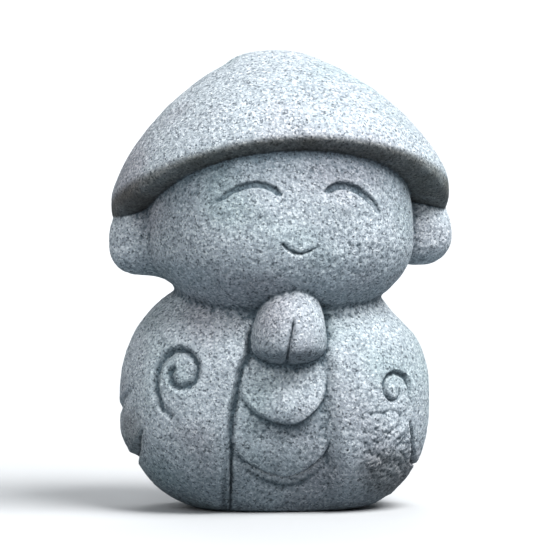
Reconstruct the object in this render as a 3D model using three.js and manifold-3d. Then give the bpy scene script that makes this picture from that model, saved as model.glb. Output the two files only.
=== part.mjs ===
// A small stone jizo in a broad hat, carved from one block of fine grey granite.
// Millimetres, +Z up. The figure faces -Y, +X is to the viewer's right, and the origin is on the flat
// underside, below the middle of the robe. Angles round the figure start at the front and grow toward
// +X.

import * as THREE from 'three';
import { mergeVertices } from 'three/addons/utils/BufferGeometryUtils.js';
import Module from 'manifold-3d';

const wasm = await Module();
wasm.setup();

// Main sizes
const height = 240;
const robeWidth = 162.4;
const robeDepth = 118;
const footAside = 3.5;
const neckWidth = 106;
const neckDepth = 86;
const headWidth = 140;
const headDepth = 120;
const headForward = 14;
const headAside = 1;
const headTurn = 4.3;
const brimOverhang = 19;
const brimBack = 13;
const brimRoll = 11;
const rollDeepening = 0.9;
const brimDroop = 11;
const hatAside = 2.3;
const hatTilt = 16;
const hatLean = 1.3;
const crownWidth = 50;
const crownDepth = 44;
const crownRise = 12;
const crownBack = 20;
const crownAside = 1.8;
const earWidth = 36;
const earDepth = 26;
const earOverlap = 15;
const earBack = 9;
const earAside = 3;
const handsReach = 18;
const handsDepth = 44;
const handsAside = 1.8;
const handsLean = 1.6;
const handsWidth = 38;
const cleftAside = -1.3;
const cleftLean = 1.8;
const cleftTop = 0.424 * height;
const cleftFoot = 0.338 * height;
const cleftWidth = 3.4;
const cleftDepth = 3;

// Levels and upright reaches, as shares of the height
const robeLevel = 0.2425 * height;
const robeRise = 0.287 * height;
const robeDrop = 0.2675 * height;
const neckLevel = 0.465 * height;
const neckReach = 0.05 * height;
const headLevel = 0.5995 * height;
const headDrop = 0.187 * height;
const headIntoHat = 0.165 * height;
const brimLevel = 0.728 * height;
const earLevel = 0.591 * height;
const earReach = 0.092 * height;
const earStagger = 0.0046 * height;
const leftEarDrop = 0.0722 * height;
const rightEarDrop = 0.066 * height;
const handsLevel = 0.37 * height;
const handsRise = 0.127 * height;
const handsDrop = 0.042 * height;

// The face: two closed eyes that arch upward, and a short smile
const eyeSpacing = 52.4;
const eyeAside = 1.9;
const eyeLength = 32;
const eyeLevel = 0.7145 * height;
const eyeArch = 0.0355 * height;
const eyeLean = 0.15;
const eyeWidth = 4.4;
const eyeDepth = 2.4;
const mouthLength = 19.6;
const mouthLevel = 0.566 * height;
const mouthArch = 0.019 * height;
const mouthWidth = 2.6;
const mouthDepth = 1.8;

// The robe's front: two sleeve edges that spread downward, with a sunk panel between them
const panelTop = 0.405 * height;
const panelTopWidth = 38.8;
const panelFootWidth = 61.4;
const leftEdgeKnee = 30.6;
const rightEdgeKnee = 26.8;
const panelSink = 3.2;

// Two hanging folds on the panel
const upperFoldLevel = 0.2 * height;
const upperFoldArch = 0.058 * height;
const upperFoldWidth = 45;
const lowerFoldLevel = 0.077 * height;
const lowerFoldArch = 0.072 * height;
const lowerFoldWidth = 53;
const foldAside = 1.6;
const foldRamp = 9;
const foldDepth = 2.8;
const foldPower = 2.2;

// Spirals on the sleeves
const spiralRadius = 5.7;
const spiralGrowth = 0.155;
const spiralStart = 125;
const spiralEnd = 605;
const leftSpiral = { side: -1, angle: -48.6, level: 0.3 * height, scale: 1, width: 2.8, depth: 1.9 };
const rightSpiral = { side: 1, angle: 53.5, level: 0.266 * height, scale: 0.8, width: 3.2, depth: 2.4 };

// Creases where the sleeves end low on the sides, as angle and share of the height
const creaseWidth = 5.5;
const creaseDepth = 3;
const creases = [
  [[-71, 0.272], [-80, 0.25], [-90, 0.226], [-106, 0.208], [-126, 0.212]],
  [[-66, 0.186], [-70, 0.16], [-77, 0.13], [-92, 0.108], [-116, 0.104]],
  [[60, 0.192], [64, 0.172], [67, 0.144], [72, 0.106], [86, 0.084], [106, 0.086], [126, 0.1]],
  [[46, 0.15], [52.5, 0.166], [58, 0.192]],
];

// How finely the forms are faceted
const robeColumns = 48;
const robeRows = 24;
const neckRows = 10;
const headColumns = 44;
const headRows = 22;
const hatColumns = 48;
const hatRows = 20;
const lobeColumns = 20;
const lobeRows = 12;
const eyeSteps = 14;
const mouthSteps = 10;
const foldSteps = 16;
const creaseSteps = 12;
const cleftSteps = 6;
const spiralSteps = 30;

const degree = Math.PI / 180;

// A rounded form about a middle: an oval plan, squarer as planPower grows, and an upper and a lower
// half, each with its own reach and its own fullness. Its lower half may drift aside toward the foot.
function roundedForm({
  middle, width, depth, rise, drop, planPower, risePower, dropPower, drift = 0,
}) {
  const halfWidth = width / 2;
  const halfDepth = depth / 2;

  // Below 1 inside the form, 1 on its surface, above 1 outside
  function gauge(point) {
    const upward = point.z > middle.z;
    const uprightShare = Math.abs(point.z - middle.z) / (upward ? rise : drop);
    const drifted = middle.x + (upward ? 0 : drift * uprightShare ** 2);
    const acrossShare = Math.abs(point.x - drifted) / halfWidth;
    const alongShare = Math.abs(point.y - middle.y) / halfDepth;
    const power = upward ? risePower : dropPower;
    const plan = (acrossShare ** planPower + alongShare ** planPower) ** (1 / planPower);
    return (plan ** power + uprightShare ** power) ** (1 / power);
  }

  // A unit sphere whose points are drawn out to the form's surface
  function geometry(columns, rows) {
    const shell = new THREE.SphereGeometry(1, columns, rows).rotateX(Math.PI / 2);
    const positions = shell.attributes.position;
    for (let i = 0; i < positions.count; i += 1) {
      const ring = Math.hypot(positions.getX(i), positions.getY(i));
      const turn = Math.atan2(positions.getY(i), positions.getX(i));
      const upright = positions.getZ(i);
      const upward = upright > 0;
      const power = upward ? risePower : dropPower;
      const spread = ring ** (2 / power);
      const uprightShare = signedPower(upright, 2 / power);
      const drifted = middle.x + (upward ? 0 : drift * uprightShare ** 2);
      positions.setXYZ(
        i,
        drifted + halfWidth * spread * signedPower(Math.cos(turn), 2 / planPower),
        middle.y + halfDepth * spread * signedPower(Math.sin(turn), 2 / planPower),
        middle.z + (upward ? rise : drop) * uprightShare,
      );
    }
    return shell;
  }

  return { middle, gauge, geometry };
}

function signedPower(value, power) {
  return Math.sign(value) * Math.abs(value) ** power;
}

function solidOf(geometry) {
  geometry.deleteAttribute('normal');
  geometry.deleteAttribute('uv');
  const merged = mergeVertices(geometry);
  return new wasm.Manifold(new wasm.Mesh({
    numProp: 3,
    vertProperties: Float32Array.from(merged.attributes.position.array),
    triVerts: Uint32Array.from(merged.index.array),
  }));
}

// A place on a form's surface, found outward from a point inside it, with the way out of the stone
function stationFrom(form, inside, direction) {
  let near = 0;
  let far = height;
  const probe = new THREE.Vector3();
  for (let halving = 0; halving < 40; halving += 1) {
    const reach = (near + far) / 2;
    probe.copy(inside).addScaledVector(direction, reach);
    if (form.gauge(probe) < 1) near = reach;
    else far = reach;
  }
  const point = inside.clone().addScaledVector(direction, near);
  const nudge = 0.01;
  const slope = (axis) => {
    const ahead = point.clone();
    const behind = point.clone();
    ahead[axis] += nudge;
    behind[axis] -= nudge;
    return form.gauge(ahead) - form.gauge(behind);
  };
  const outward = new THREE.Vector3(slope('x'), slope('y'), slope('z')).normalize();
  return { point, outward };
}

function frontStation(form, x, z) {
  const inside = new THREE.Vector3(form.middle.x + x, form.middle.y, z);
  return stationFrom(form, inside, new THREE.Vector3(0, -1, 0));
}

function roundStation(form, angle, z) {
  const inside = new THREE.Vector3(form.middle.x, form.middle.y, z);
  const direction = new THREE.Vector3(Math.sin(angle * degree), -Math.cos(angle * degree), 0);
  return stationFrom(form, inside, direction);
}

// Cross sections of the carver's cuts: across in shares of the width, down in shares of the depth.
// A gouge is a round-bottomed channel, and a step is steep under one edge and slopes up to the other.
const cutLift = 1.2;
const gougeSection = [0, 1, 2, 3, 4].map((corner) => [
  -0.5 * Math.cos(corner * Math.PI / 4),
  -Math.sin(corner * Math.PI / 4),
]);
const stepSection = [[-1, 0], [-0.5, -0.42], [-0.12, -1], [0, 0]];

// A closed cutter that follows stations over the surface and thins out toward both ends
function cutter(stations, section, width, depth) {
  const positions = [];
  const indices = [];
  const last = stations.length - 1;
  const corners = section.length + 2;
  const firstAcross = section[0][0];
  const lastAcross = section[section.length - 1][0];
  stations.forEach(({ point, outward }, i) => {
    const before = stations[Math.max(i - 1, 0)].point;
    const after = stations[Math.min(i + 1, last)].point;
    const along = after.clone().sub(before).normalize();
    const across = outward.clone().cross(along).normalize();
    const fullness = 0.25 + 0.75 * Math.sin(Math.PI * i / last) ** 0.5;
    const place = (side, up) => {
      const corner = point.clone();
      corner.addScaledVector(across, side * width * fullness);
      corner.addScaledVector(outward, up);
      positions.push(corner.x, corner.y, corner.z);
    };
    section.forEach(([side, down]) => place(side, down * depth * fullness));
    place(lastAcross, cutLift);
    place(firstAcross, cutLift);
  });
  for (let i = 0; i < last; i += 1) {
    for (let j = 0; j < corners; j += 1) {
      const here = i * corners + j;
      const beside = i * corners + (j + 1) % corners;
      indices.push(here, beside, here + corners);
      indices.push(beside, beside + corners, here + corners);
    }
  }
  for (let j = 1; j < corners - 1; j += 1) {
    indices.push(0, j + 1, j);
    indices.push(last * corners, last * corners + j, last * corners + j + 1);
  }
  const geometry = new THREE.BufferGeometry();
  geometry.setAttribute('position', new THREE.Float32BufferAttribute(positions, 3));
  geometry.setIndex(indices);
  return geometry;
}

// Evenly spaced shares from -1 to 1 along a cut
function sharesAlong(steps) {
  return Array.from({ length: steps + 1 }, (unused, i) => 2 * i / steps - 1);
}

function headPlace(geometry) {
  geometry.rotateZ(headTurn * degree);
  geometry.translate(headAside, -headForward, 0);
  return geometry;
}

// Head, with eyes and mouth cut in; it is made about its own upright axis and then put in place
function makeHead() {
  const form = roundedForm({
    middle: new THREE.Vector3(0, 0, headLevel),
    width: headWidth,
    depth: headDepth,
    rise: brimLevel - headLevel + headIntoHat,
    drop: headDrop,
    planPower: 2.15,
    risePower: 2.3,
    dropPower: 2.22,
  });
  let head = solidOf(headPlace(form.geometry(headColumns, headRows)));
  for (const side of [-1, 1]) {
    const stations = sharesAlong(eyeSteps).map((share) => {
      const outer = side * share;
      const x = eyeAside + side * eyeSpacing / 2 + share * eyeLength / 2;
      const z = eyeLevel - eyeArch * (outer + eyeLean) ** 2;
      return frontStation(form, x, z);
    });
    head = head.subtract(solidOf(headPlace(cutter(stations, stepSection, eyeWidth, eyeDepth))));
  }
  const smile = sharesAlong(mouthSteps).map((share) => (
    frontStation(form, share * mouthLength / 2, mouthLevel + mouthArch * share ** 2)
  ));
  head = head.subtract(solidOf(headPlace(cutter(smile, gougeSection, mouthWidth, mouthDepth))));
  return head.add(makeEars());
}

function makeEars() {
  const [left, right] = [-1, 1].map((side) => {
    const lobe = roundedForm({
      middle: new THREE.Vector3(
        side * (headWidth / 2 + earWidth / 2 - earOverlap) + earAside,
        earBack,
        earLevel + side * earStagger,
      ),
      width: earWidth,
      depth: earDepth,
      rise: earReach,
      drop: side < 0 ? leftEarDrop : rightEarDrop,
      planPower: 2,
      risePower: 2.2,
      dropPower: 2.2,
    });
    return solidOf(headPlace(lobe.geometry(lobeColumns, lobeRows)));
  });
  return left.add(right);
}

// Hat: a straw hat's low dome with a blunt crown and a rolled rim. It droops at the sides, where the
// roll is deepest, and it is tipped back.
function makeHat() {
  const halfDepth = headDepth / 2 + brimBack;
  const tilt = hatTilt * degree;
  const domePower = 1.52;
  const reachPower = domePower / (domePower - 1);
  const topReach = (height - brimLevel) ** reachPower - (halfDepth * Math.sin(tilt)) ** reachPower;
  const form = roundedForm({
    middle: new THREE.Vector3(0, 0, 0),
    width: headWidth + 2 * brimOverhang,
    depth: 2 * halfDepth,
    rise: topReach ** (1 / reachPower) / Math.cos(tilt),
    drop: brimRoll,
    planPower: 2,
    risePower: domePower,
    dropPower: 2.1,
  });
  const geometry = form.geometry(hatColumns, hatRows);
  const positions = geometry.attributes.position;
  for (let i = 0; i < positions.count; i += 1) {
    const sideways = Math.abs(positions.getX(i)) / (headWidth / 2 + brimOverhang);
    const z = positions.getZ(i);
    const rolled = z < 0 ? z * (1 + rollDeepening * sideways ** 3) : z;
    positions.setZ(i, rolled - brimDroop * sideways ** 2);
  }
  geometry.rotateX(-tilt);
  geometry.rotateY(-hatLean * degree);
  geometry.translate(hatAside, brimBack, brimLevel);
  const crown = roundedForm({
    middle: new THREE.Vector3(crownAside, crownBack, height - crownRise),
    width: crownWidth,
    depth: crownDepth,
    rise: crownRise,
    drop: crownRise,
    planPower: 2,
    risePower: 2.6,
    dropPower: 2,
  });
  const crownSolid = solidOf(headPlace(crown.geometry(lobeColumns, lobeRows)));
  return solidOf(headPlace(geometry)).add(crownSolid);
}

// Two pressed palms, carved as one bud that leans aside at the top, with a cleft between them
function makeHands(robe) {
  const chest = frontStation(robe, 0, handsLevel).point;
  const form = roundedForm({
    middle: new THREE.Vector3(handsAside, chest.y - handsReach + handsDepth / 2, handsLevel),
    width: handsWidth,
    depth: handsDepth,
    rise: handsRise,
    drop: handsDrop,
    planPower: 2,
    risePower: 2.1,
    dropPower: 2.4,
  });
  const cleft = sharesAlong(cleftSteps).map((share) => {
    const level = (cleftTop + cleftFoot) / 2 - share * (cleftTop - cleftFoot) / 2;
    return frontStation(form, cleftAside - share * cleftLean, level);
  });
  const geometry = form.geometry(lobeColumns, lobeRows);
  const positions = geometry.attributes.position;
  for (let i = 0; i < positions.count; i += 1) {
    const climb = Math.max(0, (positions.getZ(i) - handsLevel) / handsRise);
    positions.setX(i, positions.getX(i) + handsLean * climb);
  }
  return solidOf(geometry).subtract(solidOf(cutter(cleft, gougeSection, cleftWidth, cleftDepth)));
}

function robeForm(inset) {
  return roundedForm({
    middle: new THREE.Vector3(0, 0, robeLevel),
    width: robeWidth - 2 * inset,
    depth: robeDepth - 2 * inset,
    rise: robeRise - inset,
    drop: robeDrop,
    planPower: 2.3,
    risePower: 2.25,
    dropPower: 2.5,
    drift: footAside,
  });
}

// The wedge of space between the sleeve edges, from below the ground to behind the hands
function makePanelSpace() {
  const outline = new THREE.Shape();
  outline.moveTo(-panelTopWidth / 2, panelTop);
  outline.quadraticCurveTo(-leftEdgeKnee, robeLevel, -panelFootWidth / 2, -panelSink);
  outline.lineTo(panelFootWidth / 2, -panelSink);
  outline.quadraticCurveTo(rightEdgeKnee, robeLevel, panelTopWidth / 2, panelTop);
  outline.closePath();
  const space = new THREE.ExtrudeGeometry(outline, {
    depth: robeDepth,
    bevelEnabled: false,
    curveSegments: 8,
  });
  space.rotateX(Math.PI / 2);
  return solidOf(space);
}

function hangingFold(form, level, arch, width) {
  const stations = sharesAlong(foldSteps).map((share) => (
    frontStation(form, foldAside + share * width / 2, level + arch * Math.abs(share) ** foldPower)
  ));
  return solidOf(cutter(stations, stepSection, foldRamp, foldDepth));
}

// A spiral that opens outward, drawn on the sleeve by arc length round the robe and by height
function spiral(form, { side, angle, level, scale, width, depth }) {
  const centre = roundStation(form, angle, level).point;
  const radiusHere = Math.hypot(centre.x - form.middle.x, centre.y - form.middle.y);
  const stations = sharesAlong(spiralSteps).map((share) => {
    const sweep = (spiralStart + (spiralEnd - spiralStart) * (share + 1) / 2) * degree;
    const radius = spiralRadius * scale * Math.exp(spiralGrowth * (sweep - Math.PI));
    const across = -side * radius * Math.cos(sweep);
    return roundStation(form, angle + across / radiusHere / degree, level + radius * Math.sin(sweep));
  });
  return solidOf(cutter(stations, gougeSection, width, depth));
}

function crease(form, places) {
  const guide = new THREE.CatmullRomCurve3(
    places.map(([angle, share]) => new THREE.Vector3(angle, share * height, 0)),
  );
  const stations = guide.getPoints(creaseSteps).map((place) => roundStation(form, place.x, place.y));
  return solidOf(cutter(stations, gougeSection, creaseWidth, creaseDepth));
}

function makeRobe() {
  const form = robeForm(0);
  const panelForm = robeForm(panelSink);
  let robe = solidOf(form.geometry(robeColumns, robeRows));
  const sunkPart = solidOf(panelForm.geometry(robeColumns, robeRows));
  robe = robe.subtract(makePanelSpace().subtract(sunkPart));
  robe = robe.subtract(hangingFold(panelForm, upperFoldLevel, upperFoldArch, upperFoldWidth));
  robe = robe.subtract(hangingFold(panelForm, lowerFoldLevel, lowerFoldArch, lowerFoldWidth));
  robe = robe.subtract(spiral(form, leftSpiral));
  robe = robe.subtract(spiral(form, rightSpiral));
  for (const places of creases) robe = robe.subtract(crease(form, places));
  return robe.add(makeHands(form));
}

function makeNeck() {
  const form = roundedForm({
    middle: new THREE.Vector3(headAside, -headForward / 2, neckLevel),
    width: neckWidth,
    depth: neckDepth,
    rise: neckReach,
    drop: neckReach,
    planPower: 2.2,
    risePower: 6,
    dropPower: 6,
  });
  return solidOf(form.geometry(headColumns, neckRows));
}

// The stone below the ground level is cut away, which leaves the flat underside
function makeGround() {
  const ground = new THREE.BoxGeometry(2 * robeWidth, 2 * robeDepth, height);
  ground.translate(0, 0, -height / 2);
  return solidOf(ground);
}

function geometryOf(solid) {
  const { vertProperties, triVerts } = solid.getMesh();
  const geometry = new THREE.BufferGeometry();
  geometry.setAttribute('position', new THREE.Float32BufferAttribute(vertProperties, 3));
  geometry.setIndex(Array.from(triVerts));
  geometry.computeVertexNormals();
  return geometry;
}

const granite = new THREE.MeshStandardMaterial({ color: 0x9aa8b1, roughness: 0.9, metalness: 0 });

const figure = makeRobe().add(makeNeck()).add(makeHead()).add(makeHat()).subtract(makeGround());
const statue = new THREE.Mesh(geometryOf(figure), granite);
statue.name = 'jizo_statue';

const model = new THREE.Group();
model.add(statue);

export default model;
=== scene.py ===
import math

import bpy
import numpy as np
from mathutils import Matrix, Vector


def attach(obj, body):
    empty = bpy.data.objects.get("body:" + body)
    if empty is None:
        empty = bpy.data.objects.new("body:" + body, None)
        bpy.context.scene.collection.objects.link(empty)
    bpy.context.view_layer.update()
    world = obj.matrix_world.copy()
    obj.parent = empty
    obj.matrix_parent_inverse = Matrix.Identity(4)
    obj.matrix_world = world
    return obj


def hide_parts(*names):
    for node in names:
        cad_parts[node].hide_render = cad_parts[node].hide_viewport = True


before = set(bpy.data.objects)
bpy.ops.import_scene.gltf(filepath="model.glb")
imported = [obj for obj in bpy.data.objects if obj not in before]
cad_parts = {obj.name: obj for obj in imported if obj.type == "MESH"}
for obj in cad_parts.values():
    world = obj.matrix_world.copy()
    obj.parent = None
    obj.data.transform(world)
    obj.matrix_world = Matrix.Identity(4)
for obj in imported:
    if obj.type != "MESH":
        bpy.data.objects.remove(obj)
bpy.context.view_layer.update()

# A small stone jizo in a broad hat, carved from one block of fine grey granite.
# Sizes are in millimetres and are turned into metres where the mesh is made. The figure faces -Y and
# +X is to the viewer's right.

MM = 0.001

# --- Sizes ---------------------------------------------------------------------------------------

HEIGHT = 240.0

ROBE_LEVEL = 58.2
ROBE_WIDTH = 162.4
ROBE_DEPTH = 118.0
ROBE_RISE = 68.9
ROBE_DROP = 64.2
FOOT_ASIDE = 3.5
SHOULDER_LEVEL = 112.0
PANEL_SINK = 3.6

NECK_LEVEL = 111.6
NECK_WIDTH = 106.0
NECK_DEPTH = 86.0
NECK_REACH = 12.0

HEAD_LEVEL = 0.5995 * HEIGHT
HEAD_WIDTH = 140.0
HEAD_DEPTH = 120.0
HEAD_DROP = 44.9
HEAD_IN_HAT = 39.6
HEAD_TURN = math.radians(4.3)
HEAD_ASIDE = 1.0
HEAD_FORWARD = 14.0
CHIN_LEVEL = 118.0

LEFT_EAR = (-70, 9, 140.7)
RIGHT_EAR = (76, 9, 142.9)
EAR_WIDTH = 36.0
EAR_DEPTH = 26.0
EAR_RISE = 22.1
LEFT_LOBE = 18.0
RIGHT_LOBE = 15.6

BRIM_LEVEL = 0.728 * HEIGHT
BRIM_OVERHANG = 19.0
BRIM_BACK = 13.0
BRIM_DROOP = 11.0
RIM_THICKNESS = 11.0
ROLL_DEEPENING = 0.9
HAT_HALF_WIDTH = HEAD_WIDTH / 2 + BRIM_OVERHANG
HAT_HALF_DEPTH = HEAD_DEPTH / 2 + BRIM_BACK
HAT_ASIDE = 2.3
HAT_TILT = math.radians(16.0)
HAT_LEAN = math.radians(1.3)
DOME_POWER = 1.52

HANDS_LEVEL = 0.37 * HEIGHT
HANDS_FRONT = -74.3
HANDS_WIDTH = 38.0
HANDS_DEPTH = 44.0
HANDS_RISE = 0.127 * HEIGHT
HANDS_DROP = 10.1
HANDS_ASIDE = 1.8
HANDS_LEAN = 1.6

# The even faces that the stone's surface is first made of, and the count it ends with
CELL = 1.15
TRIANGLES = 190000

# The sight that the front carving is laid out in: 560 units across, seen from the front, 6 degrees to
# the left and 2 above, 1.9 m away. The body's axis is 274.5 units across and the ground 507.4 down.
SIGHT_WIDTH = 560
SIGHT_AZIMUTH = math.radians(-6.0)
SIGHT_RISE = math.radians(2.0)
SIGHT_DISTANCE = 1900.0
SIGHT_UNIT = 0.5257
SIGHT_AXIS = 274.5
SIGHT_GROUND = 507.4


# --- Rounded forms -------------------------------------------------------------------------------

def rounded(p, middle, width, depth, rise, drop, plan, up, down, drift=0.0):
    """Distance outward from an oval form, squarer as the powers grow; its foot may drift aside."""
    upward = p[:, 2] > middle[2]
    upright = np.abs(p[:, 2] - middle[2]) / np.where(upward, rise, drop)
    x = p[:, 0] - middle[0] - np.where(upward, 0.0, drift * upright ** 2)
    y = p[:, 1] - middle[1]
    power = np.where(upward, up, down)
    ring = (np.abs(2 * x / width) ** plan + np.abs(2 * y / depth) ** plan) ** (1 / plan)
    gauge = np.maximum((ring ** power + upright ** power) ** (1 / power), 1e-4)
    reach = np.sqrt(x ** 2 + y ** 2 + (p[:, 2] - middle[2]) ** 2)
    return reach * (1 - 1 / gauge)


def joined(a, b, fillet):
    """The two forms as one stone, with a hollow fillet where they meet."""
    share = np.clip(0.5 + 0.5 * (b - a) / fillet, 0, 1)
    return b + (a - b) * share - fillet * share * (1 - share)


def cut_off(a, b, round_edge):
    """The first form inside the second, with a rounded edge where they cross."""
    return -joined(-a, -b, round_edge)


def turned(p, first, second, angle):
    """Points turned about the axis at right angles to the two named ones."""
    q = p.copy()
    q[:, first] = p[:, first] * math.cos(angle) - p[:, second] * math.sin(angle)
    q[:, second] = p[:, first] * math.sin(angle) + p[:, second] * math.cos(angle)
    return q


def oval(flat, place, size):
    """0 in the middle of an oval, 1 at its edge, and rising as the square of the distance."""
    return ((flat[:, 0] - place[0]) / size[0]) ** 2 + ((flat[:, 1] - place[1]) / size[1]) ** 2


def drawn_in(p, place, size, depth):
    """How far a form is softly drawn in, all along a level line from front to back."""
    return depth * np.exp(-oval(p[:, [0, 2]], place, size))


def robe_field(p):
    return rounded(
        p, (0, 0, ROBE_LEVEL), ROBE_WIDTH, ROBE_DEPTH, ROBE_RISE, ROBE_DROP, 2.3, 2.25, 2.5,
        drift=FOOT_ASIDE,
    )


def hands_field(p):
    q = p.copy()
    q[:, 0] -= HANDS_ASIDE + HANDS_LEAN * np.maximum(0, (p[:, 2] - HANDS_LEVEL) / HANDS_RISE)
    middle = (0, HANDS_FRONT + HANDS_DEPTH / 2, HANDS_LEVEL)
    return rounded(q, middle, HANDS_WIDTH, HANDS_DEPTH, HANDS_RISE, HANDS_DROP, 2.0, 2.1, 2.4)


def in_head(p):
    """Points as the head has them before it is set forward and turned aside."""
    return turned(p - np.array([HEAD_ASIDE, -HEAD_FORWARD, 0]), 0, 1, -HEAD_TURN)


def in_hat(q):
    """Points of the head's frame as the untilted, undrooped hat has them."""
    h = q - np.array([HAT_ASIDE, BRIM_BACK, BRIM_LEVEL])
    h = turned(h, 2, 0, HAT_LEAN)
    h = turned(h, 1, 2, HAT_TILT)
    sideways = np.abs(h[:, 0]) / HAT_HALF_WIDTH
    h[:, 2] += BRIM_DROOP * sideways ** 2
    h[:, 2] /= np.where(h[:, 2] < 0, 1 + ROLL_DEEPENING * np.minimum(sideways, 1) ** 3, 1.0)
    return h


def below_rim(q):
    return -in_hat(q)[:, 2]


def hat_field(q):
    """The tilted hat, whose dome is just high enough to bring its top to the full height."""
    reach_power = DOME_POWER / (DOME_POWER - 1)
    top = (HEIGHT - BRIM_LEVEL) ** reach_power - (HAT_HALF_DEPTH * math.sin(HAT_TILT)) ** reach_power
    rise = top ** (1 / reach_power) / math.cos(HAT_TILT)
    h = in_hat(q)
    squarer = 2.1 + 1.6 * np.minimum(np.abs(h[:, 0]) / HAT_HALF_WIDTH, 1) ** 4
    dome = rounded(
        h, (0, 0, 0), 2 * HAT_HALF_WIDTH, 2 * HAT_HALF_DEPTH, rise, RIM_THICKNESS,
        2.0, DOME_POWER, squarer,
    )
    crown = rounded(q, (1.2, 20, HEIGHT - 12.6), 52.0, 44.0, 12, 12, 2.0, 2.6, 2.0)
    return joined(dome, crown, 3.0)


def stone_field(p):
    """The whole figure without its carving."""
    q = in_head(p)
    head_rise = BRIM_LEVEL - HEAD_LEVEL + HEAD_IN_HAT
    head = rounded(
        q, (0, 0, HEAD_LEVEL), HEAD_WIDTH, HEAD_DEPTH, head_rise, HEAD_DROP, 2.15, 2.3, 2.22,
    )
    left_ear = rounded(q, LEFT_EAR, EAR_WIDTH, EAR_DEPTH, EAR_RISE, LEFT_LOBE, 2.0, 2.2, 2.5)
    right_ear = rounded(q, RIGHT_EAR, EAR_WIDTH, EAR_DEPTH, EAR_RISE, RIGHT_LOBE, 2.0, 2.2, 2.2)
    head += drawn_in(q, (-62, 117), (15, 8), 3.6)
    head = joined(joined(head, left_ear, 8.0), right_ear, 5.0)
    neck = rounded(
        p, (HEAD_ASIDE, -HEAD_FORWARD / 2, NECK_LEVEL), NECK_WIDTH, NECK_DEPTH,
        NECK_REACH, NECK_REACH, 2.2, 6.0, 6.0,
    )
    robe = robe_field(p) + drawn_in(p, (65, 103), (17, 11), 3.0)
    body = joined(robe, neck, 3.0)
    figure = joined(body, head, 2.5)
    figure = joined(figure, hands_field(p), 2.0)
    figure = joined(figure, hat_field(q), 1.5)
    return cut_off(figure, -p[:, 2], 2.5)


def slope_of(field, p):
    value = field(p)
    nudge = 0.02
    slope = np.empty_like(p)
    for axis in range(3):
        ahead = p.copy()
        ahead[:, axis] += nudge
        slope[:, axis] = (field(ahead) - value) / nudge
    return value, slope


def settled(field, p, steps):
    """Points moved onto the surface."""
    for _ in range(steps):
        value, slope = slope_of(field, p)
        steepness = np.maximum((slope ** 2).sum(1), 0.05)
        p = p - slope * np.clip(value / steepness, -2.5, 2.5)[:, None]
    return p


# --- Surface of the stone ------------------------------------------------------------------------

def skin(field, low, high, cell):
    """Even four-sided faces over the surface of a field."""
    axes = [np.arange(low[i], high[i] + cell, cell) for i in range(3)]
    plane = np.stack(np.meshgrid(*axes[1:], indexing="ij"), -1).reshape(-1, 2)
    slices = [field(np.column_stack([np.full(len(plane), x), plane])) < 0 for x in axes[0]]
    inside = np.array(slices).reshape([len(axis) for axis in axes])
    full = np.zeros([n - 1 for n in inside.shape], int)
    for corner in np.ndindex(2, 2, 2):
        full += inside[tuple(slice(c, c - 1 or None) for c in corner)]
    mixed = (full > 0) & (full < 8)
    number = np.full(mixed.shape, -1)
    number[mixed] = np.arange(mixed.sum())
    points = np.array(low) + (np.argwhere(mixed) + 0.5) * cell
    quads = []
    for axis in range(3):
        side = np.moveaxis(inside, axis, 0)
        cells = np.moveaxis(number, axis, 0)
        behind = side[:-1, 1:-1, 1:-1]
        a, b, c = np.nonzero(behind != side[1:, 1:-1, 1:-1])
        ring = np.stack([
            cells[a, b, c], cells[a, b + 1, c], cells[a, b + 1, c + 1], cells[a, b, c + 1],
        ], 1)
        flip = behind[a, b, c] == (axis == 1)
        ring[flip] = ring[flip][:, ::-1]
        quads.append(ring)
    return points, np.concatenate(quads)


def relaxed(field, points, quads, rounds):
    """Points spread evenly over the surface."""
    pairs = np.concatenate([quads[:, [0, 1]], quads[:, [1, 2]], quads[:, [2, 3]], quads[:, [3, 0]]])
    count = len(points)
    shares = np.bincount(pairs[:, 0], minlength=count) + np.bincount(pairs[:, 1], minlength=count)
    for _ in range(rounds):
        middle = np.stack([
            np.bincount(pairs[:, 0], points[pairs[:, 1], axis], count)
            + np.bincount(pairs[:, 1], points[pairs[:, 0], axis], count)
            for axis in range(3)
        ], 1) / shares[:, None]
        points = settled(field, points + 0.6 * (middle - points), 2)
    return points


def mesh_from(name, points, faces):
    mesh = bpy.data.meshes.new(name)
    mesh.from_pydata((points * MM).tolist(), [], faces.tolist())
    mesh.update()
    return mesh


def points_of(mesh):
    flat = np.empty(3 * len(mesh.vertices))
    mesh.vertices.foreach_get("co", flat)
    return flat.reshape(-1, 3) / MM


def linked(name, mesh):
    made = bpy.data.objects.new(name, mesh)
    bpy.context.collection.objects.link(made)
    return made


def as_plain_mesh(carrier):
    """The mesh that an object's modifiers make; the object itself goes away."""
    graph = bpy.context.evaluated_depsgraph_get()
    mesh = bpy.data.meshes.new_from_object(carrier.evaluated_get(graph))
    bpy.data.objects.remove(carrier)
    return mesh


def subdivided(mesh):
    carrier = linked("finer", mesh)
    finer = carrier.modifiers.new("finer", "SUBSURF")
    finer.levels = finer.render_levels = 1
    return as_plain_mesh(carrier)


# --- Carving -------------------------------------------------------------------------------------

def smooth_step(value, low, high):
    share = np.clip((value - low) / (high - low), 0, 1)
    return share * share * (3 - 2 * share)


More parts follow.
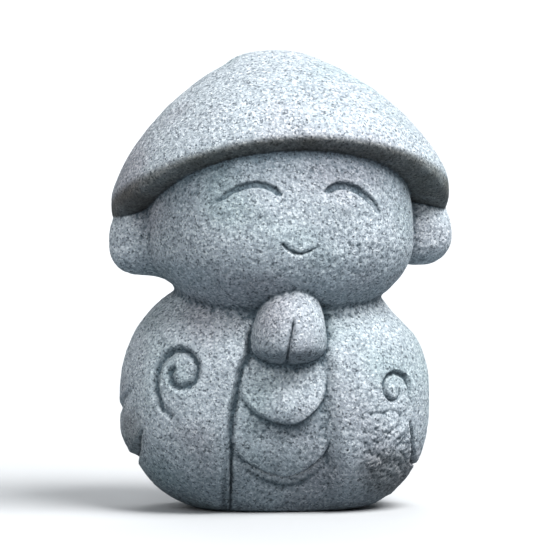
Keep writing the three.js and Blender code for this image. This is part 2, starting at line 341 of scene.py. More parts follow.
def sight_of(p):
    """Where each point is seen from the front, in sight units."""
    forward = np.array([
        -math.sin(SIGHT_AZIMUTH) * math.cos(SIGHT_RISE),
        math.cos(SIGHT_AZIMUTH) * math.cos(SIGHT_RISE),
        -math.sin(SIGHT_RISE),
    ])
    right = np.array([math.cos(SIGHT_AZIMUTH), math.sin(SIGHT_AZIMUTH), 0])
    up = np.cross(right, forward)
    away = p - (np.array([0, 0, HEIGHT / 2]) - forward * SIGHT_DISTANCE)
    scale = SIGHT_DISTANCE / (away @ forward) / SIGHT_UNIT
    across = SIGHT_AXIS + (away @ right) * scale
    down = SIGHT_GROUND - HEIGHT / 2 / SIGHT_UNIT - (away @ up) * scale
    return np.stack([across, down], 1)


def flowing(places, steps=6):
    """A smooth line through a few places."""
    p = np.array(places, float)
    p = np.vstack([2 * p[0] - p[1], p, 2 * p[-1] - p[-2]])
    line = []
    for i in range(1, len(p) - 2):
        for t in np.linspace(0, 1, steps, endpoint=False):
            line.append(0.5 * (
                2 * p[i] + (p[i + 1] - p[i - 1]) * t
                + (2 * p[i - 1] - 5 * p[i] + 4 * p[i + 1] - p[i + 2]) * t ** 2
                + (3 * p[i] - p[i - 1] - 3 * p[i + 1] + p[i + 2]) * t ** 3
            ))
    line.append(p[-2])
    return np.array(line)


def beside(flat, line, margin):
    """For the points near a line: which they are, how far to its right they lie, and how far along.
    Right is clockwise of the way the line runs, as seen with the second axis downward."""
    near = np.all((flat > line.min(0) - margin) & (flat < line.max(0) + margin), 1)
    near = np.nonzero(near)[0]
    q = flat[near]
    best = np.full(len(q), 1e9)
    away = np.full(len(q), 1e9)
    share = np.zeros(len(q))
    lengths = np.hypot(*np.diff(line, axis=0).T)
    begins = np.concatenate([[0], np.cumsum(lengths)]) / lengths.sum()
    for i, length in enumerate(lengths):
        if length == 0:
            continue
        way = (line[i + 1] - line[i]) / length
        rel = q - line[i]
        along = np.clip(rel @ way, 0, length)
        off = rel - along[:, None] * way
        far = np.hypot(off[:, 0], off[:, 1])
        closer = far < best
        best[closer] = far[closer]
        right = way[0] * off[closer, 1] - way[1] * off[closer, 0]
        away[closer] = np.where(right < 0, -1, 1) * far[closer]
        share[closer] = begins[i] + along[closer] / length * (begins[i + 1] - begins[i])
    return near, away, share


def fullness(share, first, last):
    """How full a cut is along its length, thinning toward both ends."""
    ends = np.minimum(share / first, 1) if first else 1.0
    tails = np.minimum((1 - share) / last, 1) if last else 1.0
    return np.sqrt(np.clip(ends * tails, 0, 1))


def gouged(depths, flat, places, width, depth, first=0.15, last=0.15, fullest=0.8, narrowest=0.35):
    """A round-bottomed channel along a line; a negative depth raises a soft ridge."""
    near, away, share = beside(flat, flowing(places), width)
    full = fullness(share, first, last)
    form = np.clip(1 - (away / (0.5 * width * np.maximum(full, narrowest))) ** 2, 0, 1) ** fullest
    depths[near] += depth * full * form


def stepped(depths, flat, places, ramp, depth, edge, first=0.1, last=0.1):
    """Steep under a line and sloping back up on the line's right."""
    near, away, share = beside(flat, flowing(places), ramp)
    full = fullness(share, first, last)
    blunt = edge * (1 + 7 * (1 - full))
    form = smooth_step(away, -blunt / 2, blunt / 2) * np.clip(1 - away / ramp, 0, 1) ** 1.4
    depths[near] += depth * full * form


def channelled(depths, flat, places, width, depth, edge, first=0.1, last=0.1):
    """A flat-bottomed channel on the right of a line, with steep sides."""
    near, away, share = beside(flat, flowing(places), width + edge)
    full = fullness(share, first, last)
    far_side = width * (0.35 + 0.65 * full)
    form = smooth_step(away, -edge / 2, edge / 2)
    form = form * smooth_step(away, far_side + edge / 2, far_side - edge / 2)
    depths[near] += depth * full * form


def swelling(depths, flat, place, size, height):
    """A soft rise."""
    depths -= height * np.exp(-oval(flat, place, size) * 1.5)


def shifted(line, across, down):
    return [(x + across, y + down) for x, y in line]


# Carved lines, in sight units. Each has only the places that its shape needs.
LEFT_SLEEVE = [
    (262, 318),(248.7, 333.7), (247.3, 353.3), (240.3, 370), (234.7, 395.4), (230.5, 415),
    (227.7, 434.7), (226.3, 454.3), (224.9, 482.4), (224.2, 515),
]
RIGHT_SLEEVE = [
    (318, 310), (323, 324), (327, 342), (333, 363), (334.4, 384), (335.8, 405), (337.2, 426),
    (338.6, 447.3), (341.4, 468.4), (342.8, 515),
]
UPPER_FOLD = [
    (238, 392), (246, 403), (257, 414), (273, 422), (293, 425), (307, 419.5), (318, 410), (325, 398),
    (328, 382), (329, 362),
]
LOWER_FOLD = [
    (232, 446), (238, 458), (247, 467.5), (260, 475.5), (275, 480.5), (288, 482.5), (303, 478),
    (317, 468.5), (327, 458), (332, 444), (334, 425),
]
PANEL_VALLEY = [
    (321, 304), (325, 322), (329, 345), (331, 370), (333, 395), (335, 420), (337, 447), (341, 490),
]
PALM_CLEFT = [(294, 317), (293, 328), (290, 343), (286.5, 366)]
BROKEN_EDGE = [
    (361, 418), (366, 412.5), (372, 415), (378, 412.5), (384, 413.5), (391, 410), (398, 413), (400, 420),
    (396, 427), (390, 432), (387, 437), (386, 446), (381, 452), (377, 458), (370, 461), (364, 463),
]
BROKEN_GROOVE = [(409.5, 420), (411, 432), (412, 446), (413, 463)]
BROKEN_RIDGE = [(404, 420), (406, 432), (407, 446), (407.5, 463)]
LEFT_EYE = [
    (208, 204), (213, 201), (220, 197), (229.5, 190), (242.5, 183.8), (256, 181.3), (266, 182.8),
    (276, 187.2), (284, 194.5),
]
RIGHT_EYE = [
    (324, 191.8), (330, 185.3), (339.4, 182), (349.7, 183), (359, 186.6), (368, 193.5), (375, 200.5),
    (379.5, 207.5), (382.5, 214),
]
MOUTH = [(282.5, 243), (287, 248.8), (295.5, 253.3), (301.7, 254), (310.6, 251.4), (320.5, 245.5)]
LEFT_SPIRAL = [
    (175.8, 367), (171, 372), (172, 382), (180.5, 387.5), (192.3, 383), (197, 369), (192.3, 356),
    (181.7, 350), (168.7, 354), (159, 366), (155.7, 383), (158, 398.4), (164, 410), (174, 418),
]
RIGHT_SPIRAL = [
    (398.5, 387), (399.5, 395), (394.5, 401), (388.4, 398), (385.1, 389), (387.7, 378.5), (395.6, 373),
    (404.9, 377), (409.2, 387), (411, 403),
]

# Creases round the sides: how deep, then places as degrees from the front and shares of the height
SIDE_CREASES = [
    (1.5, [(-126, 0.212), (-106, 0.208), (-90, 0.226), (-80, 0.25), (-71, 0.272)]),
    (2.4, [(-116, 0.104), (-92, 0.108), (-77, 0.13), (-70, 0.16), (-66, 0.186)]),
    (2.2, [(72, 0.106), (86, 0.084), (106, 0.086), (126, 0.1)]),
]
MM_PER_DEGREE = 1.3


def panel_carving(sight):
    """The sunk panel between the two sleeve edges, its two folds and the edges themselves."""
    outside, margin = -9.0, 90
    near, away, _ = beside(sight, flowing(LEFT_SLEEVE), margin)
    from_left = np.full(len(sight), outside)
    from_left[near] = -away
    near, away, _ = beside(sight, flowing(RIGHT_SLEEVE), margin)
    from_right = np.full(len(sight), outside)
    from_right[near] = away
    panel = smooth_step(from_left, -4.5, 0.8) * smooth_step(from_right, -4.0, 13.0)
    depths = PANEL_SINK * panel * smooth_step(sight[:, 1], 300, 318)
    folds = np.zeros(len(sight))
    stepped(folds, sight, UPPER_FOLD, 105, 3.8, 1.3, first=0.45, last=0.55)
    stepped(folds, sight, LOWER_FOLD, 70, 2.8, 1.3, first=0.45, last=0.5)
    stepped(folds, sight, LOWER_FOLD, 15, 1.9, 1.0, first=0.55, last=0.5)
    gouged(folds, sight, shifted(LOWER_FOLD[2:9], 0, 2), 6, 1.5, first=0.3, last=0.3, fullest=1.2)
    swelling(folds, sight, (284, 410), (36, 24), 3.8)
    swelling(folds, sight, (287, 455), (40, 22), 0.8)
    depths += folds * panel
    ridges = np.zeros(len(sight))
    gouged(ridges, sight, LEFT_SLEEVE[1:], 18, -1.0, first=0.1, last=0.5, fullest=2.0)
    foot_of_edge = shifted(LEFT_SLEEVE[1:], 1.2, 0)
    gouged(ridges, sight, foot_of_edge, 13, 2.4, first=0.1, last=0, fullest=1.5)
    gouged(ridges, sight, PANEL_VALLEY, 22, 1.5, first=0.1, last=0.1, fullest=1.8)
    return depths + ridges


def sleeve_carving(sight):
    """Spirals and the edges of the broken patch on the sleeves."""
    depths = np.zeros(len(sight))
    gouged(depths, sight, LEFT_SPIRAL, 11.0, 2.3, first=0.03, last=0.2, fullest=1.6, narrowest=0.9)
    gouged(depths, sight, RIGHT_SPIRAL, 7.0, 2.8, first=0.5, last=0.3)
    gouged(depths, sight, BROKEN_EDGE, 4.4, 0.7, first=0.1, last=0.4, fullest=1.4, narrowest=0.6)
    gouged(depths, sight, shifted(BROKEN_EDGE[7:], 5, 4), 7, -0.9, fullest=1.6)
    gouged(depths, sight, BROKEN_GROOVE, 6, 2.4, first=0.4, last=0)
    gouged(depths, sight, BROKEN_RIDGE, 8, -1.0, fullest=1.6)
    swelling(depths, sight, (393, 387), (7, 8), 0.8)
    swelling(depths, sight, (176, 372), (8, 8), 0.5)
    swelling(depths, sight, (225, 362), (28, 20), 0.8)
    swelling(depths, sight, (175, 332), (32, 16), 1.4)
    return depths


def side_carving(p):
    """Creases low on the sleeves, laid out round the body."""
    angle_from_front = np.degrees(np.arctan2(p[:, 0], -p[:, 1]))
    round_the_side = np.stack([angle_from_front, p[:, 2]], 1) * (MM_PER_DEGREE, -1.0)
    depths = np.zeros(len(p))
    for depth, places in SIDE_CREASES:
        line = [(MM_PER_DEGREE * angle, -share * HEIGHT) for angle, share in places]
        gouged(depths, round_the_side, line, 7.0, depth, first=0.3, last=0.3, fullest=1.4)
        stepped(depths, round_the_side, line, 16, 0.4 * depth, 2.5, first=0.3, last=0.3)
    swelling(depths, round_the_side, (-MM_PER_DEGREE * 88, -0.168 * HEIGHT), (28, 10), 1.2)
    return depths


def palm_carving(sight):
    """The cleft between the pressed palms."""
    depths = np.zeros(len(sight))
    gouged(depths, sight, PALM_CLEFT, 13, 1.7, first=0.5, last=0, fullest=2.0)
    gouged(depths, sight, PALM_CLEFT, 4.4, 1.9, first=0.3, last=0)
    return depths


def face_carving(sight):
    """Two closed eyes over slightly raised cheeks, and the mouth."""
    depths = np.zeros(len(sight))
    channelled(depths, sight, LEFT_EYE, 6.4, 1.4, 1.5, first=0.5, last=0.06)
    channelled(depths, sight, RIGHT_EYE, 7.8, 2.0, 1.3, first=0.06, last=0.4)
    swelling(depths, sight, (345, 205), (30, 12), 0.9)
    swelling(depths, sight, (250, 206), (28, 12), 0.5)
    gouged(depths, sight, MOUTH, 5.0, 2.2, first=0.03, last=0.9)
    return depths


def carved(p):
    """The carving laid on the bare figure: how deep it goes at each point, and which way is out."""
    _, slope = slope_of(stone_field, p)
    outward = slope / np.linalg.norm(slope, axis=1)[:, None]
    sight = sight_of(p)
    toward = -outward[:, 1] * math.cos(SIGHT_AZIMUTH) + outward[:, 0] * math.sin(SIGHT_AZIMUTH)
    front = smooth_step(toward, 0.02, 0.2) * (p[:, 1] < 0)
    hands = hands_field(p)
    on_robe = smooth_step(robe_field(p), 1.6, 0.6) * smooth_step(hands, 0.4, 1.4)
    robe = front * on_robe
    body = p[:, 2] < SHOULDER_LEVEL
    head = front * (p[:, 2] > CHIN_LEVEL)
    depths = robe * panel_carving(sight)
    depths += robe * sleeve_carving(sight) * body
    depths += on_robe * side_carving(p) * body
    depths += front * smooth_step(hands, 1.2, 0.3) * palm_carving(sight)
    depths += head * face_carving(sight)
    return depths, outward


# --- Wear, stains and painted shade --------------------------------------------------------------

# Where the pick marks show less or more than elsewhere, in sight units: middle, reach, how much more
PICKED = [((262, 190), (60, 40), -0.45), ((365, 248), (45, 26), 0.9), ((388, 450), (32, 42), 1.3)]
BROKEN_PATCH = ((389, 453), (30, 40))


def tooling_of(p):
    """How strongly the pick marks show at each point, and how broken the stone is."""
    sight = sight_of(p)
    front = p[:, 1] < 0
    strength = np.full(len(p), 1.0)
    for place, size, more in PICKED:
        strength += more * np.exp(-oval(sight, place, size)) * front
    strength *= smooth_step(p[:, 2], 0.3, 3.0)
    broken = np.exp(-oval(sight, *BROKEN_PATCH) ** 2) * front * smooth_step(p[:, 2], 0.3, 6.0)
    return strength, broken


def neighbour_mean(mesh):
    """A function that gives each point the mean place of its neighbours."""
    ends = np.empty(2 * len(mesh.edges), int)
    mesh.edges.foreach_get("vertices", ends)
    a, b = ends.reshape(-1, 2).T
    count = len(mesh.vertices)
    shares = np.bincount(a, minlength=count) + np.bincount(b, minlength=count)

    def mean_of(points):
        return np.stack([
            np.bincount(a, points[b, axis], count) + np.bincount(b, points[a, axis], count)
            for axis in range(3)
        ], 1) / shares[:, None]

    return mean_of


def worn_rim(points, mesh):
    """The rim of the hat with its edge worn round."""
    mean_of = neighbour_mean(mesh)
    q = in_head(points)
    share = np.exp(-(below_rim(q) / 5) ** 2) * (hat_field(q) < 0.7)
    share *= 0.25 + 0.75 * smooth_step(np.abs(q[:, 0]), 80, 58)
    for _ in range(30):
        points = points + 0.7 * share[:, None] * (mean_of(points) - points)
    return points


# Rounds of smoothing after which hollows are gauged, with the depth that counts as a full one
HOLLOW_GAUGES = {4: 0.5, 40: 3.2}


def hollowness(mesh):
    """How far each point of a mesh lies in a hollow: 0 in the open, 1 at the bottom of a cut."""
    points = points_of(mesh)
    mean_of = neighbour_mean(mesh)
    outward = np.empty(3 * len(points))
    mesh.vertex_normals.foreach_get("vector", outward)
    outward = outward.reshape(-1, 3)
    smoothed = points
    hollow = np.zeros(len(points))
    for turn in range(1, max(HOLLOW_GAUGES) + 1):
        smoothed = mean_of(smoothed)
        if turn in HOLLOW_GAUGES:
            sunk = ((smoothed - points) * outward).sum(1)
            hollow += np.clip(sunk / HOLLOW_GAUGES[turn], 0, 1)
    return np.clip(hollow, 0, 1)


def stains_and_shade_of(p):
    """Where the stone is stained low on the sleeves, with painted shade under the rim of the hat mixed
    in,
    and painted shade: under the hat, on the panel and palms, and along the deep carved lines."""
    q = in_head(p)
    hat, below, hands = hat_field(q), below_rim(q), hands_field(p)
    # Painted shade on the underside of the hat's rim, joined below with real stains low on the sleeves
    rim = smooth_step(hat, 1.5, 0.5) * smooth_step(below, -2.4, 2.2)
    sight = sight_of(p)
    front = p[:, 1] < 20
    right = oval(sight, (392, 474), (34, 26))
    left = oval(sight, (130, 436), (16, 26))
    stain_and_rim_shade = np.clip(rim + front * (0.6 * np.exp(-right ** 2) + 0.5 * np.exp(-left ** 2)), 0, 1)
    # Painted shadow of the brim on the forehead and temples
    painted_shade = 0.8 * np.exp(-(np.maximum(below - 5, 0) / 19) ** 2) * smooth_step(below, 3, 6)
    painted_shade *= smooth_step(np.abs(q[:, 0]), 76, 58) * (hat > 0.7)
    # Painted shade under the hands on the panel, and on the lower part of the palms
    panel = oval(sight, (283, 446), (44, 44))
    palms = smooth_step(sight[:, 1], 330, 358) * smooth_step(hands, 0.8, 0.2)
    painted_shade += (0.3 * np.exp(-panel ** 2) + 0.5 * palms) * front
    # Painted shade along the folds, the left sleeve's edge and the left spiral
    painted_line_shade = np.zeros(len(p))
    gouged(painted_line_shade, sight, shifted(LOWER_FOLD[1:10], 0, 3), 8, 0.9, first=0.3, last=0.4, fullest=1.5)
    gouged(painted_line_shade, sight, shifted(UPPER_FOLD[1:8], 0, 2), 7, 0.5, first=0.3, last=0.4, fullest=1.5)
    gouged(painted_line_shade, sight, LEFT_SLEEVE[1:], 10, 0.6, first=0.1, last=0, fullest=1.5)
    gouged(painted_line_shade, sight, LEFT_SPIRAL, 10, 0.5, first=0.05, last=0.2, fullest=1.5, narrowest=0.9)
    painted_shade += painted_line_shade * front * smooth_step(hands, 0.4, 1.2) * (p[:, 2] < SHOULDER_LEVEL - 2)
    return stain_and_rim_shade, painted_shade


# --- Nodes and granite ---------------------------------------------------------------------------

def node(tree, kind, settings=None, inputs=None):
    """Adds a node, with its settings and with the values or links of its inputs."""
    made = tree.nodes.new(kind)
    for name, value in (settings or {}).items():
        setattr(made, name, value)
    for key, value in (inputs or {}).items():
        if isinstance(value, bpy.types.NodeSocket):
            tree.links.new(value, made.inputs[key])
        else:
            made.inputs[key].default_value = value
    return made


def linear(code):
    """A colour from its sRGB hex code."""
    parts = [int(code[i:i + 2], 16) / 255 for i in (1, 3, 5)]
    return tuple(c / 12.92 if c <= 0.04045 else ((c + 0.055) / 1.055) ** 2.4 for c in parts) + (1.0,)


def pick_marks_tree():
    """Small hollows left by the pick all over the stone, the slow unevenness of hand work, and chips
    where the stone is broken."""
    tree = bpy.data.node_groups.new("pick_marks", "GeometryNodeTree")
    face = tree.interface
    face.new_socket("Geometry", in_out="INPUT", socket_type="NodeSocketGeometry")
    for name in ("Spacing", "Depth", "Lump size", "Lump height", "Chip size", "Chip height", "Seed"):
        face.new_socket(name, in_out="INPUT", socket_type="NodeSocketFloat")
    face.new_socket("Stone", in_out="INPUT", socket_type="NodeSocketMaterial")
    face.new_socket("Geometry", in_out="OUTPUT", socket_type="NodeSocketGeometry")
    given = tree.nodes.new("NodeGroupInput").outputs
    place = node(tree, "GeometryNodeInputPosition").outputs[0]
    normal = node(tree, "GeometryNodeInputNormal").outputs[0]
    strength = node(
        tree, "GeometryNodeInputNamedAttribute", {"data_type": "FLOAT"}, {"Name": "tooling"},
    ).outputs["Attribute"]
    frequency = node(
        tree, "ShaderNodeMath", {"operation": "DIVIDE"}, {0: 1000.0, 1: given["Spacing"]},
    ).outputs[0]
    picks = node(
        tree, "ShaderNodeTexVoronoi", {"voronoi_dimensions": "4D", "feature": "SMOOTH_F1"},
        {"Vector": place, "W": given["Seed"], "Scale": frequency, "Smoothness": 0.25},
    ).outputs["Distance"]
    hollow = node(
        tree, "ShaderNodeMapRange", {"interpolation_type": "SMOOTHSTEP"},
        {"Value": picks, "From Min": 0.1, "From Max": 0.75, "To Min": -1.0, "To Max": 0.6},
    ).outputs[0]
    pick = node(
        tree, "ShaderNodeMath", {"operation": "MULTIPLY"}, {0: hollow, 1: given["Depth"]},
    ).outputs[0]
    uneven = []
    for size, height, detail, roughness in (
        ("Lump size", "Lump height", 2.0, 0.5), ("Chip size", "Chip height", 3.0, 0.6),
    ):
        frequency = node(
            tree, "ShaderNodeMath", {"operation": "DIVIDE"}, {0: 1000.0, 1: given[size]},
        ).outputs[0]
        waves = node(
            tree, "ShaderNodeTexNoise", {"noise_dimensions": "4D"},
            {"Vector": place, "W": given["Seed"], "Scale": frequency, "Detail": detail,
             "Roughness": roughness},
        ).outputs[0]
        wave = node(tree, "ShaderNodeMath", {"operation": "SUBTRACT"}, {0: waves, 1: 0.5}).outputs[0]
        uneven.append(node(
            tree, "ShaderNodeMath", {"operation": "MULTIPLY"}, {0: wave, 1: given[height]},
        ).outputs[0])
    lump, chip = uneven
    relief = node(tree, "ShaderNodeMath", {"operation": "ADD"}, {0: pick, 1: lump}).outputs[0]
    relief = node(tree, "ShaderNodeMath", {"operation": "MULTIPLY"}, {0: relief, 1: strength}).outputs[0]
    broken = node(
        tree, "GeometryNodeInputNamedAttribute", {"data_type": "FLOAT"}, {"Name": "broken"},
    ).outputs["Attribute"]
    chip = node(tree, "ShaderNodeMath", {"operation": "MULTIPLY"}, {0: chip, 1: broken}).outputs[0]
    relief = node(tree, "ShaderNodeMath", {"operation": "ADD"}, {0: relief, 1: chip}).outputs[0]
    relief = node(tree, "ShaderNodeMath", {"operation": "MULTIPLY"}, {0: relief, 1: MM}).outputs[0]
    offset = node(
        tree, "ShaderNodeVectorMath", {"operation": "SCALE"}, {0: normal, "Scale": relief},
    ).outputs[0]
    moved = node(
        tree, "GeometryNodeSetPosition", None, {"Geometry": given["Geometry"], "Offset": offset},
    ).outputs[0]
    plain = node(tree, "GeometryNodeRealizeInstances", None, {"Geometry": moved}).outputs[0]
    finished = node(
        tree, "GeometryNodeSetMaterial", None, {"Geometry": plain, "Material": given["Stone"]},
    ).outputs[0]
    node(tree, "NodeGroupOutput", None, {0: finished})
    return tree


def granite_material():
    """Fine grey granite: pale feldspar, grey quartz and dark mica, dull, with brown stains and with
    painted shade in its hollows, under the brim and on what faces down.
    """
    granite = bpy.data.materials.new("fine_grey_granite")
    granite.use_nodes = True
    tree = granite.node_tree
    tree.nodes.clear()
    coordinates = node(tree, "ShaderNodeTexCoord")
    place = coordinates.outputs["Object"]
    wobble = node(
        tree, "ShaderNodeTexNoise", None, {"Vector": place, "Scale": 900.0, "Detail": 1.0},
    ).outputs["Color"]
    wobbled = node(
        tree, "ShaderNodeMix", {"data_type": "VECTOR"}, {"Factor": 0.0006, 4: place, 5: wobble},
    ).outputs[1]

    # Crystals just under 1 mm across, each of one mineral
    crystals = node(
        tree, "ShaderNodeTexVoronoi", None, {"Vector": wobbled, "Scale": 1 / (0.9 * MM)},
    ).outputs["Color"]
    mineral = node(tree, "ShaderNodeSeparateColor", None, {"Color": crystals}).outputs["Red"]
    ramp = node(tree, "ShaderNodeValToRGB", None, {"Fac": mineral})
    stops = [(0.0, "#636c74"), (0.12, "#8e979f"), (0.35, "#a4aeb6"), (0.75, "#b9c2c9"), (1.0, "#dae1e6")]
    while len(ramp.color_ramp.elements) < len(stops):
        ramp.color_ramp.elements.new(0.5)
    for element, (position, code) in zip(ramp.color_ramp.elements, stops):
        element.position = position
        element.color = linear(code)
    grain = node(
        tree, "ShaderNodeTexNoise", None,
        {"Vector": place, "Scale": 1 / (0.7 * MM), "Detail": 3.0, "Roughness": 0.7},
    ).outputs[0]
    colour = node(
        tree, "ShaderNodeMix", {"data_type": "RGBA", "blend_type": "OVERLAY"},
        {"Factor": 0.35, 6: ramp.outputs["Color"], 7: grain},
    ).outputs[2]

    # Cloudy patches, a few centimetres wide
    clouds = node(
        tree, "ShaderNodeTexNoise", None,
        {"Vector": place, "Scale": 1 / (26 * MM), "Detail": 4.0, "Roughness": 0.6},
    ).outputs[0]
    cloud = node(
        tree, "ShaderNodeMapRange", None,
        {"Value": clouds, "From Min": 0.35, "From Max": 0.7, "To Min": 0.0, "To Max": 0.3},
    ).outputs[0]
    darkenings = [(cloud, "#aeb2b4")]

    # Faint rosy and greenish tints, from iron in the stone and from algae
    tints = node(
        tree, "ShaderNodeTexNoise", None, {"Vector": place, "Scale": 1 / (55 * MM), "Detail": 1.0},
    ).outputs[0]
    for name, low, high, code in (("rosy", 0.54, 0.68, "#f0e4e6"), ("green", 0.46, 0.32, "#e2efec")):
        share = node(
            tree, "ShaderNodeMapRange", {"label": name},
            {"Value": tints, "From Min": low, "From Max": high, "To Min": 0.0, "To Max": 0.6},
        ).outputs[0]
        darkenings.append((share, code))

    # Darker near the ground: partly damp and dirt, partly painted shade
    height = node(tree, "ShaderNodeSeparateXYZ", None, {"Vector": place}).outputs["Z"]
    damp_and_low_shade = node(
        tree, "ShaderNodeMapRange", {"interpolation_type": "SMOOTHSTEP"},
        {"Value": height, "From Min": 0.06, "From Max": 0.0, "To Min": 0.0, "To Max": 0.3},
    ).outputs[0]
    darkenings.append((damp_and_low_shade, "#9aa19f"))

    # Painted shade in hollows and creases and on what faces down, where less light falls
    facing = node(
        tree, "ShaderNodeSeparateXYZ", None, {"Vector": coordinates.outputs["Normal"]},
    ).outputs["Z"]
    # Painted shade on surfaces that face down
    under = node(
        tree, "ShaderNodeMapRange", {"interpolation_type": "SMOOTHSTEP"},
        {"Value": facing, "From Min": 0.32, "From Max": -0.75, "To Min": 0.0, "To Max": 0.85},
    ).outputs[0]
    # Painted shade from the hollow attribute
    hollow = node(tree, "ShaderNodeAttribute", {"attribute_name": "hollow"}).outputs["Fac"]
    darkenings += [(under, "#84929a"), (hollow, "#7c8990")]

    # Brown stain low on the sleeves, in blotches, with painted shade on the underside of the hat's rim
    stain_and_rim_shade = node(tree, "ShaderNodeAttribute", {"attribute_name": "stain_and_rim_shade"}).outputs["Fac"]
    blotches = node(
        tree, "ShaderNodeMapRange", None,
        {"Value": clouds, "From Min": 0.3, "From Max": 0.6, "To Min": 0.75, "To Max": 1.0},
    ).outputs[0]
    stain_and_rim_shade = node(tree, "ShaderNodeMath", {"operation": "MULTIPLY"}, {0: stain_and_rim_shade, 1: blotches}).outputs[0]
    darkenings.append((stain_and_rim_shade, "#858179"))

    # Small dark pits
    pits = node(
        tree, "ShaderNodeTexVoronoi", None, {"Vector": place, "Scale": 1 / (3.6 * MM)},
    ).outputs["Distance"]
    pit = node(
        tree, "ShaderNodeMapRange", {"interpolation_type": "SMOOTHSTEP"},
        {"Value": pits, "From Min": 0.2, "From Max": 0.1, "To Min": 0.0, "To Max": 0.7},
    ).outputs[0]
    darkenings.append((pit, "#7d838a"))

    for share, code in darkenings:
        colour = node(
            tree, "ShaderNodeMix", {"data_type": "RGBA", "blend_type": "MULTIPLY"},
            {"Factor": share, 6: colour, 7: linear(code)},
        ).outputs[2]

    # Rough broken surface between the crystals
    rough = node(
        tree, "ShaderNodeTexNoise", None,
        {"Vector": place, "Scale": 1 / (1.6 * MM), "Detail": 4.0, "Roughness": 0.65},
    ).outputs[0]
    level = node(tree, "ShaderNodeMath", {"operation": "MULTIPLY"}, {0: pit, 1: -0.6}).outputs[0]
    level = node(tree, "ShaderNodeMath", {"operation": "ADD"}, {0: level, 1: rough}).outputs[0]
    bump = node(
        tree, "ShaderNodeBump", None, {"Strength": 1.0, "Distance": 1.3 * MM, "Height": level},
    ).outputs[0]
    surface = node(
        tree, "ShaderNodeBsdfPrincipled", None,
        {"Base Color": colour, "Roughness": 0.88, "Specular IOR Level": 0.35, "Normal": bump},
    ).outputs[0]
    node(tree, "ShaderNodeOutputMaterial", None, {"Surface": surface})
    return granite


# --- Build ---------------------------------------------------------------------------------------

def make_statue():
    cell = CELL
    points, quads = skin(stone_field, (-98, -94, -4), (100, 84, 247), cell)
    points = settled(stone_field, points, 3)
    points = relaxed(stone_field, points, quads, 3)
    mesh = subdivided(mesh_from("bare_stone", points, quads))
    points = settled(stone_field, points_of(mesh), 2)
    points = worn_rim(points, mesh)
    tooling, broken = tooling_of(points)
    depths, outward = carved(points)
    outward[:, 2] *= smooth_step(points[:, 2], 0.5, 14)  # near the ground, cuts run in level
    points = points - outward * depths[:, None]
    points[:, 2] = np.maximum(points[:, 2], 0)
    mesh.vertices.foreach_set("co", (points * MM).ravel())
    mesh.attributes.new("tooling", "FLOAT", "POINT").data.foreach_set("value", tooling)
    mesh.attributes.new("broken", "FLOAT", "POINT").data.foreach_set("value", broken)
    mesh.update()

    carrier = linked("picked", mesh)
    marks = carrier.modifiers.new("pick_marks", "NODES")
    marks.node_group = pick_marks_tree()
    sizes = {
        "Spacing": 2.6, "Depth": 0.27, "Lump size": 16.0, "Lump height": 1.3,
        "Chip size": 5.5, "Chip height": 4.4, "Seed": 4.0,
        "Stone": granite_material(),
    }
    for item in marks.node_group.interface.items_tree:
        if item.name in sizes:
            marks[item.identifier] = sizes[item.name]
    fewer = carrier.modifiers.new("fewer", "DECIMATE")
    fewer.ratio = TRIANGLES / (2 * len(mesh.polygons))
    mesh = as_plain_mesh(carrier)
    mesh.name = "jizo_stone"
    stain_and_rim_shade, painted_shade = stains_and_shade_of(points_of(mesh))
    # Painted shade: the hollow attribute darkens hollows and creases, under the brim, on the panel and
    # palms
    hollow = np.clip(hollowness(mesh) + painted_shade, 0, 1)
    mesh.attributes.new("hollow", "FLOAT", "POINT").data.foreach_set("value", hollow)
    mesh.attributes.new("stain_and_rim_shade", "FLOAT", "POINT").data.foreach_set("value", stain_and_rim_shade)
    mesh.shade_smooth()
    return linked("jizo_stone", mesh)


# --- Stage ---------------------------------------------------------------------------------------

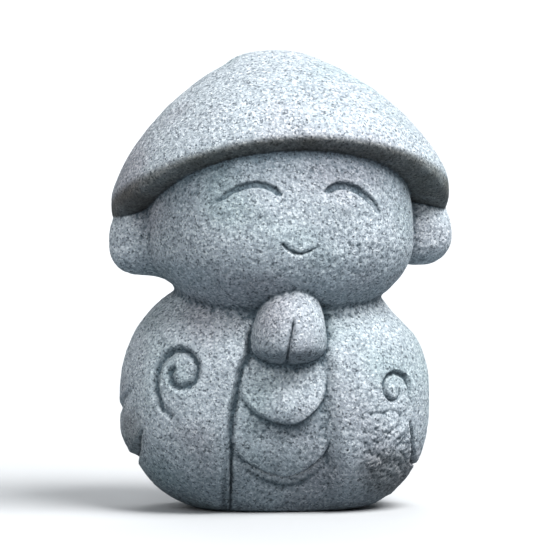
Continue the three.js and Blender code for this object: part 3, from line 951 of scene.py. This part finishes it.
def make_stage():
    """A pale floor that curves up behind."""
    half_width, front, bend, radius, wall_top = 3.0, -3.0, 1.5, 1.0, 4.0
    curve = [
        (bend + radius * math.sin(t), radius - radius * math.cos(t))
        for t in np.linspace(0, math.pi / 2, 16)
    ]
    line = [(front, 0.0)] + curve + [(bend + radius, wall_top)]
    points = [(x, y, z) for x in (-half_width, half_width) for y, z in line]
    count = len(line)
    faces = [(i, i + 1, count + i + 1, count + i)[::-1] for i in range(count - 1)]
    mesh = bpy.data.meshes.new("pale_floor")
    mesh.from_pydata(points, [], faces)
    mesh.shade_smooth()
    paper = bpy.data.materials.new("pale_paper")
    paper.use_nodes = True
    shader = paper.node_tree.nodes["Principled BSDF"]
    shader.inputs["Base Color"].default_value = linear("#bfc1c3")
    shader.inputs["Roughness"].default_value = 0.9
    mesh.materials.append(paper)
    floor = linked("pale_floor", mesh)


def area_light(name, place, size, power, aim=(0, 0, 0.12)):
    light = bpy.data.lights.new(name, "AREA")
    light.size = size
    light.energy = power
    lamp = linked(name, light)
    lamp.location = place
    lamp.rotation_euler = (Vector(aim) - Vector(place)).to_track_quat("-Z", "Y").to_euler()


def make_light():
    world = bpy.data.worlds.new("studio")
    world.use_nodes = True
    world.node_tree.nodes["Background"].inputs["Color"].default_value = linear("#e6f0f8")
    world.node_tree.nodes["Background"].inputs["Strength"].default_value = 0.18
    bpy.context.scene.world = world
    area_light("key", (0.74, -0.8, 1.52), 1.1, 66.0)
    area_light("fill", (-0.8, -1.4, 0.95), 1.2, 12.0)
    area_light("behind", (0.0, 1.2, 1.9), 1.2, 60.0, (0, 2.4, 0.6))
    bpy.context.scene.view_settings.view_transform = "Standard"


def make_camera():
    film_width, aim_aside, aim_level = 36.0, 2.9, 119.5
    back = Vector((
        math.sin(SIGHT_AZIMUTH) * math.cos(SIGHT_RISE),
        -math.cos(SIGHT_AZIMUTH) * math.cos(SIGHT_RISE),
        math.sin(SIGHT_RISE),
    ))
    side = Vector((math.cos(SIGHT_AZIMUTH), math.sin(SIGHT_AZIMUTH), 0))
    target = side * aim_aside * MM + Vector((0, 0, aim_level * MM))
    lens = bpy.data.cameras.new("camera")
    lens.sensor_width = film_width
    lens.lens = film_width * SIGHT_DISTANCE / (SIGHT_WIDTH * SIGHT_UNIT)
    lens.clip_start = 0.1
    camera = linked("camera", lens)
    camera.location = target + back * SIGHT_DISTANCE * MM
    camera.rotation_euler = (-back).to_track_quat("-Z", "Y").to_euler()
    bpy.context.scene.camera = camera


statue = make_statue()
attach(statue, "root")
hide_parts("jizo_statue")
make_stage()
make_light()
make_camera()
